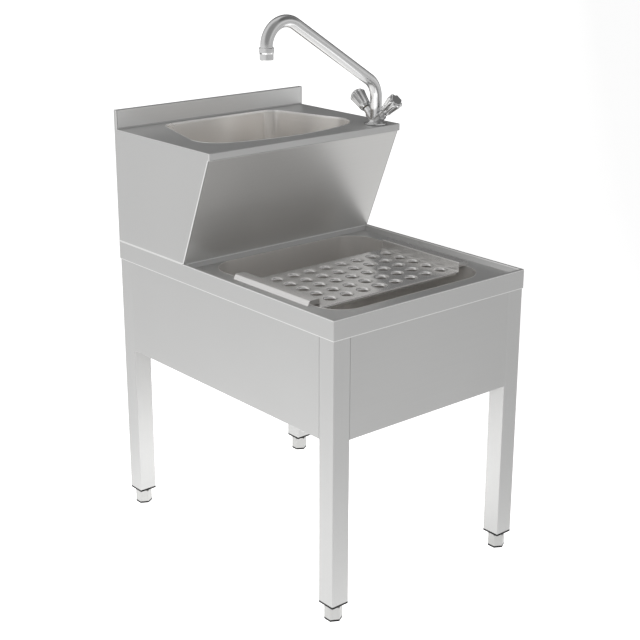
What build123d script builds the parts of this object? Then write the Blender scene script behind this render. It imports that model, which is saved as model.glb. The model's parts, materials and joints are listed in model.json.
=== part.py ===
from build123d import *
import math
import os

# Free-standing stainless-steel hand-wash and cleaner's sink combination.
# Millimetres. Origin at the centre of the footprint on the floor, +X to the user's right,
# +Y to the back, +Z up.

OVERCUT = 1.0            # cutting shapes run past the face they open by this

# ---- driving dimensions ----
WIDTH = 500.0
DEPTH = 700.0
WORKTOP_Z = 600.0        # deck of the lower worktop
DECK_Z = 850.0           # deck around the hand basin
UPSTAND_HEIGHT = 40.0
UPSTAND_DEPTH = 10.0
SHEET = 1.2              # sheet metal thickness
FOLD_RADIUS = 1.8        # outside radius of a fold
FLANGE = 15.0            # inward stiffening flange

# lower worktop
RIM_RISE = 10.0          # raised border above the deck
RIM_WIDTH = 6.0          # flat top of the border
RIM_SLOPE = 8.0          # how far the border's inner wall leans in
BACK_SLOPE = 6.5         # the same at the back, below the sloped panel
RIM_CHAMFER = 0.5
SKIRT_HEIGHT = 40.0
SKIRT_EDGE_RADIUS = 1.1  # rounded lower edge
SERVICE_OPENING = (450.0, 165.0)
SERVICE_CORNER_RADIUS = 20.0
SERVICE_OPENING_Y = 217.5
RIM_Z = WORKTOP_Z + RIM_RISE
SKIRT_Z = RIM_Z - SKIRT_HEIGHT

# utility bowl
BOWL_SIZE = 400.0
BOWL_CORNER_RADIUS = 60.0
BOWL_DEPTH = 200.0
BOWL_FLOOR_RADIUS = 40.0
BOWL_Y = -DEPTH / 2 + 50.0 + BOWL_SIZE / 2
BOWL_DRAFT = 2.0         # degrees
BOWL_FLOOR_Z = WORKTOP_Z - BOWL_DEPTH
BEAD = 0.6               # welded seam, proud of the deck
BEAD_RADIUS = 0.5

# legs, aprons and feet
LEG_SIZE = 40.0
LEG_WALL = 1.5
LEG_CORNER_RADIUS = 1.2
FRAME_SETBACK = 1.8      # legs and aprons stand back from the skirt's face by this
LEG_FOOT_Z = 37.0        # lower end of the leg tube
LEG_TOP_Z = WORKTOP_Z - SHEET
LEG_X = WIDTH / 2 - FRAME_SETBACK - LEG_SIZE / 2
LEG_Y = DEPTH / 2 - FRAME_SETBACK - LEG_SIZE / 2
APRON_BOTTOM_Z = 370.0
APRON_TOP_Z = WORKTOP_Z - 5.0
BRACE_BOTTOM_Z = 515.0
FIXING_INSET = 40.0      # apron screws, in from the apron's top and bottom
INSERT_FLANGE = 4.0
INSERT_LENGTH = 20.0
STUD_RADIUS = 5.0
STUD_CHAMFER = 0.8
STUD_END_Z = 8.0
FOOT_ACROSS_FLATS = 30.8
FOOT_CHAMFER = 5.0
FOOT_SOCKET_Z = 20.0     # top of the hollow below the foot's thread
SOLE_HEIGHT = 4.0
SPIGOT_RADIUS = 10.5
SPIGOT_HEIGHT = 2.0
RUNNING_GAP = 0.05       # radial clearance of everything that turns or slides

# raised housing
HOUSING_FOOT_Y = 112.0   # where the sloped panel meets the worktop
DECK_FRONT_Y = 14.0
LIP_HEIGHT = 15.0
LIP_RETURN = 10.0
PANEL_SETBACK = 5.0      # the lip overhangs the sloped panel by this
LIP_Z = DECK_Z - LIP_HEIGHT
UPSTAND_Z = DECK_Z + UPSTAND_HEIGHT
UPSTAND_Y = DEPTH / 2 - UPSTAND_DEPTH
SIDE_FOLD = 4.0          # depth of the edge folded in around a side panel
SIDE_EDGE_RADIUS = 2.6
SIDE_X = WIDTH / 2 - SIDE_FOLD
SEAM_RADIUS = 1.0        # welded seam between a side panel and the worktop
HOUSING_SCREW_YS = (150.0, 225.0, 300.0)

# hand basin
BASIN_DEPTH = 140.0
BASIN_FLOOR_Z = DECK_Z - BASIN_DEPTH
BASIN_FLOOR_RADIUS = 34.0
BASIN_DRAFT = 5.0
BASIN_FRONT_Y = 54.0     # middle of the bowed front rim
BASIN_SIDE_Y = 100.0
BASIN_BACK_Y = 325.0
BASIN_FRONT_HALF = 209.0
BASIN_BACK_HALF = 145.0
BASIN_FRONT_RADIUS = 62.0
BASIN_BACK_RADIUS = 36.0
BASIN_WASTE_Y = 195.0

# lift-off grate
GRATE_SHEET = 1.5
GRATE_Z = 590.0
GRATE_FRONT_Y = -230.0
GRATE_BACK_Y = -7.0
GRATE_HALF_WIDTH = 184.0
GRATE_FLANGE_WIDTH = 29.0
GRATE_HEM = 6.0
GRATE_HEM_START = 2.0    # the hemmed floor begins this far in from a side wall
RAIL_OVERHANG = 4.0      # the side rails run on past the front hem
HOLE_COLUMNS = 9
HOLE_ROWS = 5
HOLE_PITCH_X = 42.3
HOLE_PITCH_Y = 39.8
HOLE_RADIUS = 8.5
DIMPLE_RADIUS = 13.5
DIMPLE_DEPTH = 4.0

# tap
TAP_X = 205.0
TAP_Y = 42.0
TAP_HOLE_RADIUS = 17.5
TAP_SEAL = 1.0
TAP_STUD_RADIUS = 4.0
TAP_STUD_Y = 9.0         # behind the tap's axis
TAP_STUD_GRIP = 5.0
TAP_STUD_LENGTH = 40.0
BACKNUT_ACROSS_FLATS = 13.0
BACKNUT_HEIGHT = 8.0
CLAMP_THICKNESS = 4.0
CLAMP_SLOT_HALF = 15.0
CLAMP_SLOT_BACK = 3.0    # the slot's end, behind the tap's axis
COLUMN_RADIUS = 12.5
COLUMN_TOP_Z = DECK_Z + 36.0
BASE_RADIUS = 24.0
BASE_HEIGHT = 3.0
BASE_BEVEL = 1.0
COVE_WIDTH = 2.5         # the column flares into its base
COVE_HEIGHT = 6.0
VALVE_Z = DECK_Z + 6.0   # where the two valve axes cross the column's axis
VALVE_RISE = 40.0        # degrees above horizontal
ARM_RADIUS = 11.0
ARM_REACH = 24.0
NOSE_RADIUS = 5.5        # headwork thread inside the body
NOSE_START = 14.0
SLEEVE_RADIUS = 8.6
SLEEVE_REACH = 37.0
SLEEVE_BEVEL = 0.8
KNOB_START = 38.5
KNOB_END = 81.0
KNOB_INNER_RADIUS = 12.5
KNOB_OUTER_RADIUS = 18.0
KNOB_BRIM_RADIUS = 4.0
KNOB_BEVEL = 1.5
KNOB_LOBES = 8
FLUTE_RADIUS = 4.6
FLUTE_START = 7.0        # the knob's first stretch stays round
FLUTE_OFFSET = 2.6       # a flute's axis lies this far outside the knob's flank
KNOB_CAP_RADIUS = 11.5
KNOB_CAP_HEIGHT = 2.0
KNOB_CAP_BEVEL = 0.8
SPINDLE_RADIUS = 3.5
SPINDLE_START = 20.0
SPINDLE_END = KNOB_END - 12.0
SPOUT_RADIUS = 12.5
SPOUT_WALL = 1.5
SPOUT_REACH = 291.5
SPOUT_RISE = 32.8        # degrees
SPOUT_ELBOW_Z = DECK_Z + 83.0
SPOUT_BEND_RADIUS = 47.0
SPIGOT_TUBE_RADIUS = 9.0
SPIGOT_TUBE_LENGTH = 15.0
SPIGOT_TUBE_WALL = 2.5
SPIGOT_SHOULDER = 4.0    # solid ring brazed into the tube's foot
O_RING_RISES = (2.5, 6.0)
O_RING_HALF_WIDTH = 1.0
GROOVE_DEPTH = 1.5
SET_SCREW_RADIUS = 1.5
SET_SCREW_Z = COLUMN_TOP_Z - 4.5
SET_SCREW_PLAY = 0.25    # clearance of its tip in the groove
AERATOR_Z = DECK_Z + 160.0
AERATOR_LENGTH = 24.0
AERATOR_RADIUS = 15.0
AERATOR_LOWER_RADIUS = 13.7
AERATOR_STEP = 12.0      # height of the narrower lower part
AERATOR_TAPER = 3.0
AERATOR_BEVEL = 1.0
JET_DISC_RISE = 1.5
JET_DISC_HEIGHT = 8.0
JET_HOLES = 8
JET_HOLE_RADIUS = 1.4
JET_CIRCLE_RADIUS = 6.5
JET_CENTRE_RADIUS = 2.0

# supply hoses: down behind the sloped panel, past the hand basin and through the service opening
HOSE_RADIUS = 4.5
HOSE_OFFSET = 7.0        # each side of the tap's axis
HOSE_START_Y = TAP_Y - 2.0
HOSE_STRAIGHT = 45.0     # below the deck before it bends
HOSE_BULGE = (12.0, 125.0, DECK_Z - 150.0)
HOSE_PASS = (-2.0, 215.0, RIM_Z)
HOSE_TAIL_X = TAP_X - 25.0
HOSE_TAIL_Y = 235.0
HOSE_TAIL_OFFSET = 16.0
HOSE_END_Z = 480.0
HOSE_NUT_ACROSS_FLATS = 22.0
HOSE_NUT_HEIGHT = 14.0
INLET_RADIUS = 8.3
INLET_DEPTH = 10.0

# waste
WASTE_HOLE_RADIUS = 26.0
RECESS_RADIUS = 36.0
RECESS_DEPTH = 3.0
GRID_RADIUS = 34.0
GRID_THICKNESS = 2.0
GRID_HOLE_RADIUS = 3.2
GRID_CIRCLES = ((11.0, 6), (20.0, 12))    # radius and number of holes
WASTE_SCREW_RADIUS = 3.0
WASTE_SCREW_HEAD_RADIUS = 5.0
WASTE_SCREW_HEAD = 2.5
BRIDGE_HALF_WIDTH = 4.0
BRIDGE_DROP = 4.0        # the screw's bridge, below and above the flange's underside
BRIDGE_RISE = 2.0
PIPE_RADIUS = 20.0
PIPE_WALL = 2.0
SOCKET_WALL = 3.0
WASTE_SEAL = 2.0
WASTE_FLANGE_RADIUS = 33.0
WASTE_FLANGE = 4.0
SEAL_INSET = 1.0         # the seal is this much smaller than the flange
BRANCH_Z = 362.0         # the basin's pipe enters above the trap
BRANCH_SEAT = 24.0       # where that pipe ends and its socket ends, behind the bowl's axis
BRANCH_END = 50.0
DOWNPIPE_TOP_Z = BASIN_FLOOR_Z - 20.0
DOWNPIPE_BEND_RADIUS = 40.0
BASIN_TAIL_Z = BASIN_FLOOR_Z - 45.0
OUTLET_Z = 312.0
OUTLET_SEAT = 32.0       # the same for the outlet pipe in the trap
OUTLET_SOCKET_END = 58.0
OUTLET_END_Y = DEPTH / 2 - 5.0
OUTLET_SPIGOT = 40.0     # free end that a waste pipe's socket takes
STOP_BEAD_RADIUS = 21.5
STOP_BEAD_LENGTH = 3.0
TRAP_RADIUS = 28.0
TRAP_TOP_Z = 338.0
TRAP_BODY_END_Z = 285.0
CUP_TOP_Z = 300.0
CUP_BOTTOM_Z = 250.0
CUP_SHELF_Z = 280.0      # the trap's body stands above this shelf in the cup
CUP_WALL = 3.0
CUP_CHAMFER = 4.0
CUP_NOTCH_START = 10.0   # the cup is notched around the outlet socket
CUP_NOTCH_END = 60.0
DIP_END_Z = CUP_BOTTOM_Z + 18.0

# screws
SCREW_RADIUS = 2.5
SCREW_HEAD_RADIUS = 4.6
SCREW_HEAD = 3.0
HOUSING_SCREW_REACH = 6.0
FRAME_SCREW_REACH = LEG_WALL + 3.0

CORNERS = {
    "front_left": (-LEG_X, -LEG_Y),
    "front_right": (LEG_X, -LEG_Y),
    "rear_left": (-LEG_X, LEG_Y),
    "rear_right": (LEG_X, LEG_Y),
}


# ---- helpers ----
def block(x_low, x_high, y_low, y_high, z_low, z_high):
    size = (x_high - x_low, y_high - y_low, z_high - z_low)
    return Pos(x_low, y_low, z_low) * Box(*size, align=(Align.MIN, Align.MIN, Align.MIN))


def rod(radius, low, high, x=0.0, y=0.0):
    upright = Cylinder(radius, high - low, align=(Align.CENTER, Align.CENTER, Align.MIN))
    return Pos(x, y, low) * upright


def ring(outer, inner, low, high, x=0.0, y=0.0):
    return rod(outer, low, high, x, y) - rod(inner, low - OVERCUT, high + OVERCUT, x, y)


def rod_along_y(radius, y_low, y_high, x, z):
    lying = Rot(-90, 0, 0) * rod(radius, 0, y_high - y_low)
    return Pos(x, y_low, z) * lying


def folded_sheet(plane, points, length, thickness=SHEET):
    """A sheet folded along the points, its material to the right of the path, extruded both ways."""
    path = FilletPolyline(*points, radius=FOLD_RADIUS)
    section = make_face(offset(path, amount=thickness, side=Side.RIGHT))
    return extrude(plane * section, amount=length / 2, both=True)


def hexagon(across_flats):
    return RegularPolygon(across_flats / 2, 6, major_radius=False)


def revolved(points):
    """A solid of revolution about Z from (radius, z) points."""
    outline = make_face(Polyline(*points, close=True))
    return revolve(Plane.XZ * outline, Axis.Z)


def pipe(path, start_plane, radius, wall):
    outer = sweep(start_plane * Circle(radius), path=path)
    inner = sweep(start_plane * Circle(radius - wall), path=path)
    return outer - inner


# ---- lower worktop and utility bowl ----
def worktop_skin():
    """The outside of the worktop, with every visible edge rounded."""
    skin = block(-WIDTH / 2, WIDTH / 2, -DEPTH / 2, DEPTH / 2, SKIRT_Z, RIM_Z)
    skin = fillet(skin.edges().filter_by(Axis.Z), FOLD_RADIUS)
    skin = fillet(skin.faces().sort_by(Axis.Z)[-1].edges(), FOLD_RADIUS)
    return fillet(skin.faces().sort_by(Axis.Z)[0].edges(), SKIRT_EDGE_RADIUS)


def tray_space(grow):
    """The recess inside the raised border, grown outwards and down by a thickness."""
    lean = RIM_SLOPE / RIM_RISE
    spread = grow * math.hypot(1, lean)
    run = lean * (RIM_RISE + grow)
    back_run = BACK_SLOPE / RIM_RISE * (RIM_RISE + grow)
    half_width = WIDTH / 2 - RIM_WIDTH + spread
    front_y = -DEPTH / 2 + RIM_WIDTH - spread
    back_y = HOUSING_FOOT_Y + spread
    low_front_y = front_y + run
    low_back_y = back_y - back_run
    top = Pos(0, (front_y + back_y) / 2, RIM_Z) * Rectangle(2 * half_width, back_y - front_y)
    low = Rectangle(2 * (half_width - run), low_back_y - low_front_y)
    return loft([top, Pos(0, (low_front_y + low_back_y) / 2, WORKTOP_Z - grow) * low])


def rim_chamfer():
    """Breaks the edge where the border's flat top turns down into the tray."""
    width = WIDTH - 2 * RIM_WIDTH
    length = HOUSING_FOOT_Y + DEPTH / 2 - RIM_WIDTH
    middle = (HOUSING_FOOT_Y - DEPTH / 2 + RIM_WIDTH) / 2
    top = Rectangle(width + 2 * RIM_CHAMFER, length + 2 * RIM_CHAMFER)
    low = Rectangle(width, length)
    return loft([Pos(0, middle, RIM_Z) * top, Pos(0, middle, RIM_Z - RIM_CHAMFER) * low])


def bowl_outline():
    return Pos(0, BOWL_Y) * RectangleRounded(BOWL_SIZE, BOWL_SIZE, BOWL_CORNER_RADIUS)


def housing_screw_places():
    x = SIDE_X - FLANGE / 2
    return [(side * x, y) for side in (-1, 1) for y in HOUSING_SCREW_YS]


def make_lower_worktop():
    inner_x = WIDTH / 2 - SHEET
    inner_y = DEPTH / 2 - SHEET
    hollow = block(-inner_x, inner_x, -inner_y, inner_y, SKIRT_Z, RIM_Z - SHEET)
    hollow = fillet(hollow.edges().filter_by(Axis.Z), FOLD_RADIUS - SHEET)
    plate = worktop_skin() - (hollow - tray_space(SHEET)) - tray_space(0)
    plate = plate - rim_chamfer()
    opening = extrude(offset(bowl_outline(), SHEET), amount=RIM_Z)
    service = RectangleRounded(*SERVICE_OPENING, SERVICE_CORNER_RADIUS)
    service = Pos(0, SERVICE_OPENING_Y) * extrude(service, amount=RIM_Z + OVERCUT)
    plate = plate - opening - service
    for x, y in housing_screw_places():
        plate = plate - rod(SCREW_RADIUS, SKIRT_Z, RIM_Z + OVERCUT, x, y)
    return plate


def drawn_bowl(outline, deck_z, depth, draft, floor_radius, waste_y):
    """A deep-drawn bowl with a drafted wall, a rounded floor and a recess for its waste."""
    floor_z = deck_z - depth
    mouth = Pos(0, 0, deck_z) * outline
    outer_mouth = Pos(0, 0, deck_z) * offset(outline, SHEET)
    skin = extrude(outer_mouth, amount=depth + SHEET, dir=(0, 0, -1), taper=draft)
    space = extrude(mouth, amount=depth, dir=(0, 0, -1), taper=draft)
    skin = fillet(skin.faces().sort_by(Axis.Z)[0].edges(), floor_radius + SHEET)
    space = fillet(space.faces().sort_by(Axis.Z)[0].edges(), floor_radius)
    seam = extrude(outer_mouth, amount=BEAD) - extrude(mouth, amount=BEAD)
    seam = fillet(seam.faces().sort_by(Axis.Z)[-1].edges(), BEAD_RADIUS)
    recess_z = floor_z - RECESS_DEPTH
    cup = rod(RECESS_RADIUS + SHEET, recess_z - SHEET, floor_z, 0, waste_y)
    bowl = skin + cup - space
    bowl = bowl - rod(RECESS_RADIUS, recess_z, floor_z + OVERCUT, 0, waste_y)
    bowl = bowl - rod(WASTE_HOLE_RADIUS, recess_z - SHEET - OVERCUT, floor_z, 0, waste_y)
    return bowl + seam


def make_utility_bowl():
    return drawn_bowl(bowl_outline(), WORKTOP_Z, BOWL_DEPTH, BOWL_DRAFT, BOWL_FLOOR_RADIUS, BOWL_Y)


# ---- legs, aprons, brace and feet ----
def frame_fixings():
    """Screws through the aprons' end tabs into the legs, as (x, y, z, x direction, y direction)."""
    reach_x = LEG_X - LEG_SIZE / 2
    reach_y = LEG_Y - LEG_SIZE / 2
    inset = FRAME_SETBACK + FLANGE / 2
    places = []
    for side in (-1, 1):
        for z in (APRON_BOTTOM_Z + FIXING_INSET, APRON_TOP_Z - FIXING_INSET):
            places.append((side * reach_x, -DEPTH / 2 + inset, z, side, 0))
            places.append((side * (WIDTH / 2 - inset), -reach_y, z, 0, -1))
            places.append((side * (WIDTH / 2 - inset), reach_y, z, 0, 1))
        places.append((side * reach_x, DEPTH / 2 - inset, (BRACE_BOTTOM_Z + APRON_TOP_Z) / 2, side, 0))
    return places


def along(place, radius, start, end):
    """A rod on a fixing's axis, measured into the leg from the leg's face."""
    x, y, z, x_way, y_way = place
    axis_plane = Plane(origin=(x, y, z), z_dir=(x_way, y_way, 0))
    return axis_plane * rod(radius, start, end)


def make_leg(corner):
    x, y = CORNERS[corner]
    tube = RectangleRounded(LEG_SIZE, LEG_SIZE, LEG_CORNER_RADIUS)
    bore = LEG_SIZE - 2 * LEG_WALL
    tube = tube - Rectangle(bore, bore)
    leg = Pos(x, y, LEG_FOOT_Z) * extrude(tube, amount=LEG_TOP_Z - LEG_FOOT_Z)
    for place in frame_fixings():
        if abs(place[0] - x) < LEG_SIZE and abs(place[1] - y) < LEG_SIZE:
            leg = leg - along(place, SCREW_RADIUS, -OVERCUT, LEG_WALL + OVERCUT)
    return leg


def c_panel(bottom_z, length):
    """A panel in the XZ plane at y = 0, facing -Y, folded inwards at its bottom, top and ends."""
    points = [(FLANGE, bottom_z), (0, bottom_z), (0, APRON_TOP_Z), (FLANGE, APRON_TOP_Z)]
    panel = folded_sheet(Plane.YZ, points, length)
    for side in (-1, 1):
        end = side * length / 2
        tab_x = sorted((end, end - side * SHEET))
        tab_z = (bottom_z + SHEET / 2, APRON_TOP_Z - SHEET / 2)
        panel = panel + block(*tab_x, SHEET / 2, FLANGE, *tab_z)
    return panel


def bored(panel):
    for place in frame_fixings():
        panel = panel - along(place, SCREW_RADIUS, -SHEET - OVERCUT, 0)
    return panel


def make_apron_front():
    return bored(Pos(0, -DEPTH / 2 + FRAME_SETBACK, 0) * c_panel(APRON_BOTTOM_Z, 2 * LEG_X - LEG_SIZE))


def make_apron_side(side):
    panel = Rot(0, 0, 90 * side) * c_panel(APRON_BOTTOM_Z, 2 * LEG_Y - LEG_SIZE)
    return bored(Pos(side * (WIDTH / 2 - FRAME_SETBACK), 0, 0) * panel)


def make_rear_brace():
    panel = Rot(0, 0, 180) * c_panel(BRACE_BOTTOM_Z, 2 * LEG_X - LEG_SIZE)
    return bored(Pos(0, DEPTH / 2 - FRAME_SETBACK, 0) * panel)


def make_frame_screws():
    screws = []
    for place in frame_fixings():
        head = along(place, SCREW_HEAD_RADIUS, -SHEET - SCREW_HEAD, -SHEET)
        screws.append(head + along(place, SCREW_RADIUS, -SHEET, FRAME_SCREW_REACH))
    return screws


def make_leg_inserts():
    inserts = []
    top_z = LEG_FOOT_Z + INSERT_LENGTH
    plug_size = LEG_SIZE - 2 * LEG_WALL
    for x, y in CORNERS.values():
        flange = extrude(RectangleRounded(LEG_SIZE, LEG_SIZE, LEG_CORNER_RADIUS), amount=INSERT_FLANGE)
        plug = extrude(Rectangle(plug_size, plug_size), amount=INSERT_LENGTH)
        insert = Pos(x, y, LEG_FOOT_Z - INSERT_FLANGE) * flange + Pos(x, y, LEG_FOOT_Z) * plug
        inserts.append(insert - rod(STUD_RADIUS, 0, top_z + OVERCUT, x, y))
    return inserts


def make_foot_studs():
    top_z = LEG_FOOT_Z + INSERT_LENGTH
    places = CORNERS.values()
    return [chamfer(rod(STUD_RADIUS, STUD_END_Z, top_z, x, y).edges(), STUD_CHAMFER) for x, y in places]


def foot_outline():
    """Corners point along +Y and -Y."""
    return Rot(0, 0, 30) * hexagon(FOOT_ACROSS_FLATS)


def make_foot_hex(corner):
    """Hexagonal foot: threaded for the stud at its top, hollow below, closed by its sole."""
    x, y = CORNERS[corner]
    top_z = LEG_FOOT_Z - INSERT_FLANGE - RUNNING_GAP
    prism = Pos(0, 0, SOLE_HEIGHT) * extrude(foot_outline(), amount=top_z - SOLE_HEIGHT)
    corner_radius = FOOT_ACROSS_FLATS / math.sqrt(3)
    turned = rod(corner_radius, SOLE_HEIGHT, top_z)
    turned = chamfer(turned.faces().sort_by(Axis.Z)[-1].edges(), FOOT_CHAMFER)
    foot = (prism & turned) - rod(STUD_RADIUS + RUNNING_GAP, SOLE_HEIGHT, top_z + OVERCUT)
    foot = foot - rod(SPIGOT_RADIUS + RUNNING_GAP, SOLE_HEIGHT - OVERCUT, FOOT_SOCKET_Z)
    return Pos(x, y, 0) * foot


def make_foot_sole(corner):
    x, y = CORNERS[corner]
    sole = extrude(foot_outline(), amount=SOLE_HEIGHT - RUNNING_GAP)
    return Pos(x, y, 0) * (sole + rod(SPIGOT_RADIUS, 0, SOLE_HEIGHT + SPIGOT_HEIGHT - RUNNING_GAP))


# ---- raised housing ----
def housing_outline():
    corner_y = DECK_FRONT_Y + PANEL_SETBACK
    return make_face(Polyline(
        (HOUSING_FOOT_Y, RIM_Z), (DEPTH / 2, RIM_Z), (DEPTH / 2, UPSTAND_Z), (UPSTAND_Y, UPSTAND_Z),
        (UPSTAND_Y, DECK_Z), (DECK_FRONT_Y, DECK_Z), (DECK_FRONT_Y, LIP_Z), (corner_y, LIP_Z), close=True))


def make_housing_side(side):
    """A side panel with its edge folded in all round and its foot welded to the worktop."""
    outline = housing_outline()
    panel = extrude(Plane.YZ * outline, amount=SIDE_FOLD)
    all_but_foot = panel.faces().sort_by(Axis.X)[-1].edges().sort_by(Axis.Z)[1:]
    panel = fillet(all_but_foot, SIDE_EDGE_RADIUS)
    inside = offset(outline, -SHEET, kind=Kind.INTERSECTION)
    panel = panel - extrude(Plane.YZ * inside, amount=SIDE_FOLD - SHEET)
    foot = block(-FLANGE, SIDE_FOLD, HOUSING_FOOT_Y + FLANGE + FOLD_RADIUS, DEPTH / 2, RIM_Z, RIM_Z + SHEET)
    rear = block(-FLANGE, SHEET, DEPTH / 2 - SHEET, DEPTH / 2, RIM_Z, LIP_Z)
    seam_x = SIDE_FOLD - SEAM_RADIUS
    seam = rod_along_y(SEAM_RADIUS, HOUSING_FOOT_Y + FOLD_RADIUS, DEPTH / 2 - FOLD_RADIUS, seam_x, RIM_Z)
    panel = panel + foot + rear + seam
    if side < 0:
        panel = mirror(panel, Plane.YZ)
    panel = Pos(side * SIDE_X, 0, 0) * panel - worktop_skin()
    for x, y in housing_screw_places():
        panel = panel - rod(SCREW_RADIUS, RIM_Z - OVERCUT, RIM_Z + SHEET + OVERCUT, x, y)
    return panel


def make_splash_panel():
    top_y = DECK_FRONT_Y + PANEL_SETBACK
    points = [
        (HOUSING_FOOT_Y + FLANGE, RIM_Z), (HOUSING_FOOT_Y, RIM_Z), (top_y, LIP_Z), (top_y + FLANGE, LIP_Z)]
    return folded_sheet(Plane.YZ, points, 2 * SIDE_X)


def basin_outline():
    """A D shape: bowed front rim, sides that taper to a straight back rim."""
    left = (-BASIN_FRONT_HALF, BASIN_SIDE_Y)
    right = (BASIN_FRONT_HALF, BASIN_SIDE_Y)
    back_left = (-BASIN_BACK_HALF, BASIN_BACK_Y)
    back_right = (BASIN_BACK_HALF, BASIN_BACK_Y)
    front = ThreePointArc(right, (0, BASIN_FRONT_Y), left)
    outline = make_face(front + Polyline(left, back_left, back_right, right))
    front_corners = outline.vertices().sort_by(Axis.Y)[:2]
    outline = fillet(front_corners, BASIN_FRONT_RADIUS)
    back_corners = outline.vertices().sort_by(Axis.Y)[-2:]
    return fillet(back_corners, BASIN_BACK_RADIUS)


def make_hand_basin_top():
    back = DEPTH / 2
    points = [
        (DECK_FRONT_Y + LIP_RETURN, LIP_Z), (DECK_FRONT_Y, LIP_Z), (DECK_FRONT_Y, DECK_Z),
        (UPSTAND_Y, DECK_Z), (UPSTAND_Y, UPSTAND_Z), (back, UPSTAND_Z), (back, LIP_Z)]
    top = folded_sheet(Plane.YZ, points, 2 * SIDE_X)
    opening = Pos(0, 0, LIP_Z) * offset(basin_outline(), SHEET)
    top = top - extrude(opening, amount=LIP_HEIGHT + OVERCUT)
    return top - rod(TAP_HOLE_RADIUS, LIP_Z, DECK_Z + OVERCUT, TAP_X, TAP_Y)


def make_hand_basin_bowl():
    outline = basin_outline()
    return drawn_bowl(outline, DECK_Z, BASIN_DEPTH, BASIN_DRAFT, BASIN_FLOOR_RADIUS, BASIN_WASTE_Y)


def make_housing_screws():
    flange_z = RIM_Z + SHEET
    screws = []
    for x, y in housing_screw_places():
        head = rod(SCREW_HEAD_RADIUS, flange_z, flange_z + SCREW_HEAD, x, y)
        screws.append(head + rod(SCREW_RADIUS, RIM_Z - HOUSING_SCREW_REACH, flange_z, x, y))
    return screws


# ---- grate ----
def grate_rail():
    """The left side: a wall up from the floor and a flange that rides on the worktop's deck."""
    rest_z = WORKTOP_Z + RUNNING_GAP
    outer_x = GRATE_HALF_WIDTH + GRATE_FLANGE_WIDTH
    points = [
        (-outer_x, rest_z), (-outer_x, RIM_Z), (-GRATE_HALF_WIDTH, RIM_Z), (-GRATE_HALF_WIDTH, GRATE_Z),
        (-GRATE_HALF_WIDTH + GRATE_HEM_START, GRATE_Z)]
    front_y = GRATE_FRONT_Y - RAIL_OVERHANG
    middle_y = (front_y + GRATE_BACK_Y) / 2
    return folded_sheet(Plane.XZ.offset(-middle_y), points, GRATE_BACK_Y - front_y, GRATE_SHEET)


def make_grate():
    """A hemmed floor with pressed drain holes between two side rails."""
    rail = grate_rail()
    hem_points = [
        (GRATE_FRONT_Y, GRATE_Z - GRATE_HEM), (GRATE_FRONT_Y, GRATE_Z),
        (GRATE_BACK_Y, GRATE_Z), (GRATE_BACK_Y, GRATE_Z - GRATE_HEM)]
    hem_length = 2 * (GRATE_HALF_WIDTH - GRATE_HEM_START)
    tray = rail + mirror(rail, Plane.YZ) + folded_sheet(Plane.YZ, hem_points, hem_length, GRATE_SHEET)
    dimple = Cone(HOLE_RADIUS + GRATE_SHEET, DIMPLE_RADIUS + GRATE_SHEET, DIMPLE_DEPTH)
    funnel = Cone(HOLE_RADIUS, DIMPLE_RADIUS, DIMPLE_DEPTH)
    middle_y = (GRATE_FRONT_Y + GRATE_BACK_Y) / 2
    middle_z = GRATE_Z - DIMPLE_DEPTH / 2
    places = GridLocations(HOLE_PITCH_X, HOLE_PITCH_Y, HOLE_COLUMNS, HOLE_ROWS)
    for place in places:
        tray = tray + Pos(0, middle_y, middle_z - GRATE_SHEET / 2) * place * dimple
    cuts = [Pos(0, middle_y, middle_z) * place * funnel for place in places]
    cuts += [Pos(0, middle_y, middle_z) * place * Cylinder(HOLE_RADIUS, 2 * DIMPLE_DEPTH) for place in places]
    return tray - cuts


# ---- tap ----
def valve_plane(side):
    rise = math.radians(VALVE_RISE)
    return Plane(origin=(TAP_X, TAP_Y, VALVE_Z), x_dir=(1, 0, 0),
                 z_dir=(0, side * math.cos(rise), math.sin(rise)))


def at_tap(shape):
    return Pos(TAP_X, TAP_Y, 0) * shape


def make_tap_body():
    base_z = DECK_Z + TAP_SEAL
    shoulder_z = base_z + BASE_HEIGHT
    column = revolved([
        (0, base_z), (BASE_RADIUS, base_z), (BASE_RADIUS, shoulder_z - BASE_BEVEL),
        (BASE_RADIUS - 2 * BASE_BEVEL, shoulder_z), (COLUMN_RADIUS + COVE_WIDTH, shoulder_z + COVE_HEIGHT / 3),
        (COLUMN_RADIUS, shoulder_z + COVE_HEIGHT), (COLUMN_RADIUS, COLUMN_TOP_Z), (0, COLUMN_TOP_Z)])
    body = at_tap(column)
    for side in (-1, 1):
        body = body + valve_plane(side) * rod(ARM_RADIUS, 0, ARM_REACH)
    body = body - at_tap(rod(BASE_RADIUS + ARM_REACH, base_z - ARM_REACH, base_z))
    for side in (-1, 1):
        body = body - valve_plane(side) * rod(NOSE_RADIUS, NOSE_START, ARM_REACH + OVERCUT)
    socket_z = COLUMN_TOP_Z - SPIGOT_TUBE_LENGTH - RUNNING_GAP
    body = body - at_tap(rod(SPIGOT_TUBE_RADIUS + RUNNING_GAP, socket_z, COLUMN_TOP_Z + OVERCUT))
    screw_end_y = TAP_Y + COLUMN_RADIUS + OVERCUT
    body = body - rod_along_y(SET_SCREW_RADIUS, TAP_Y, screw_end_y, TAP_X, SET_SCREW_Z)
    return body - at_tap(rod(TAP_STUD_RADIUS, base_z - OVERCUT, base_z + TAP_STUD_GRIP, 0, TAP_STUD_Y))


def make_tap_seal():
    return at_tap(ring(BASE_RADIUS - BASE_BEVEL, TAP_HOLE_RADIUS, DECK_Z, DECK_Z + TAP_SEAL))


def make_tap_stud():
    top_z = DECK_Z + TAP_SEAL + TAP_STUD_GRIP
    return at_tap(rod(TAP_STUD_RADIUS, top_z - TAP_STUD_LENGTH, top_z, 0, TAP_STUD_Y))


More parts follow.
